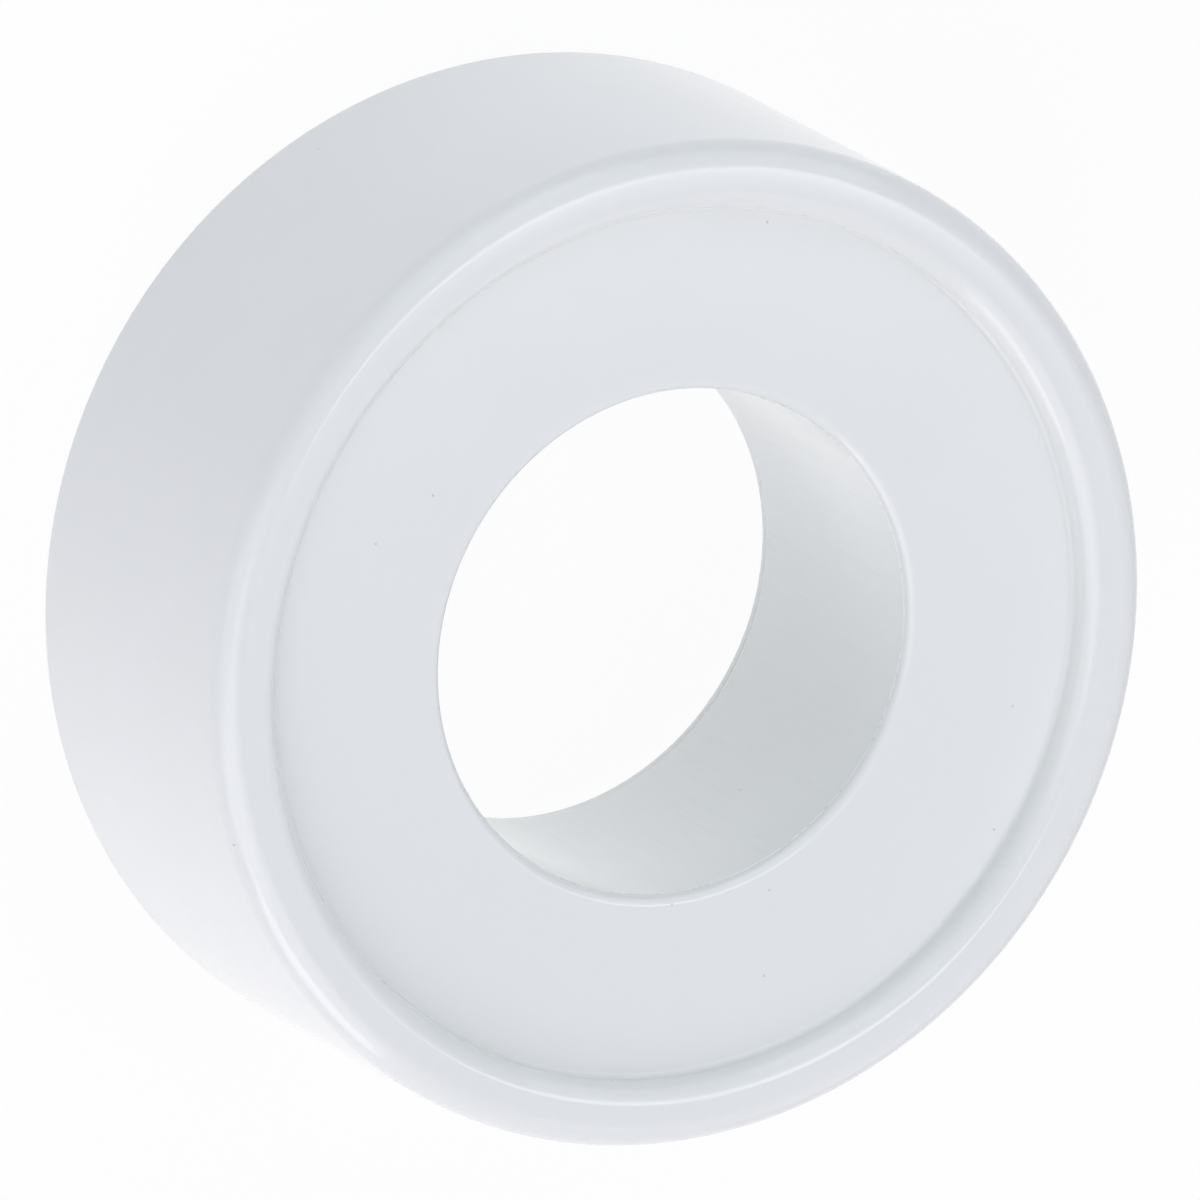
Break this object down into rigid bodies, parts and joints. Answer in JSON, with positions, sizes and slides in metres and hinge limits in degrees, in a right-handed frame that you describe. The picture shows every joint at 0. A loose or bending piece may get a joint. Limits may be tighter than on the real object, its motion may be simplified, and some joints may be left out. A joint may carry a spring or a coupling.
{
  "type": "thread seal tape roll",
  "caption": "Thread seal tape roll: round white case with a recessed front face and an open bore; the cover pulls off a flanged spool on which the wound tape turns.",
  "frame": {"origin": "on the roll's axis, in the plane of the cover's back edge, which the roll lies on", "axes": "+Z along the roll's axis, out of the front face; +X and +Y are free turns about it, and the tape's loose end starts at +X"},
  "size_m": [0.0488, 0.0488, 0.0183],
  "materials": {
    "cover_plastic": "white moulded polypropylene, satin gloss",
    "spool_plastic": "white moulded polypropylene, satin gloss",
    "core_plastic": "white moulded polystyrene, matte",
    "seal_tape": "unsintered PTFE tape, matte"
  },
  "bodies": {
    "spool": {"spool": "spool_plastic"},
    "cover": {"cover": "cover_plastic"},
    "reel": {"tape_core": "core_plastic", "tape_roll": "seal_tape"}
  },
  "joints": [
    {"name": "cover_lift", "type": "slide", "parent": "spool", "child": "cover", "axis": [0, 0, 1], "range_m": [0, 0.03]},
    {"name": "reel_spin", "type": "hinge", "parent": "spool", "child": "reel", "pos_m": [0, 0, 0.0088], "axis": [0, 0, 1], "continuous": true}
  ]
}
